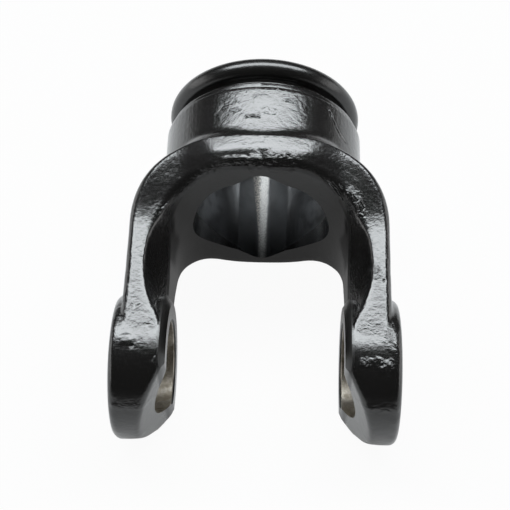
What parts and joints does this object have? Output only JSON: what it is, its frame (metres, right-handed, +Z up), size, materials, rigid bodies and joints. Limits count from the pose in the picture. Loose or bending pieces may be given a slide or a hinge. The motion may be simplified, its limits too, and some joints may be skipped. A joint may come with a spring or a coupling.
{
  "type": "forged yoke",
  "caption": "Forged steel end yoke for a universal joint: two bored ears on a U-shaped fork, running into a round hub with a lobed tube bore and a turned groove and bead.",
  "frame": {"origin": "where the axis of the two ear bores crosses the axis of the hub, midway between the ears", "axes": "+X along the ear-bore axis; +Y from the ears towards the hub end, level; +Z up, as the yoke lies at rest on its ears and the crown of its arch"},
  "size_m": [0.0816, 0.1169, 0.0677],
  "materials": {
    "forged_yoke": "glossy black paint over a rough forging, with bare machined bores"
  },
  "bodies": {
    "root": {"forged_yoke": "forged_yoke"}
  },
  "joints": []
}
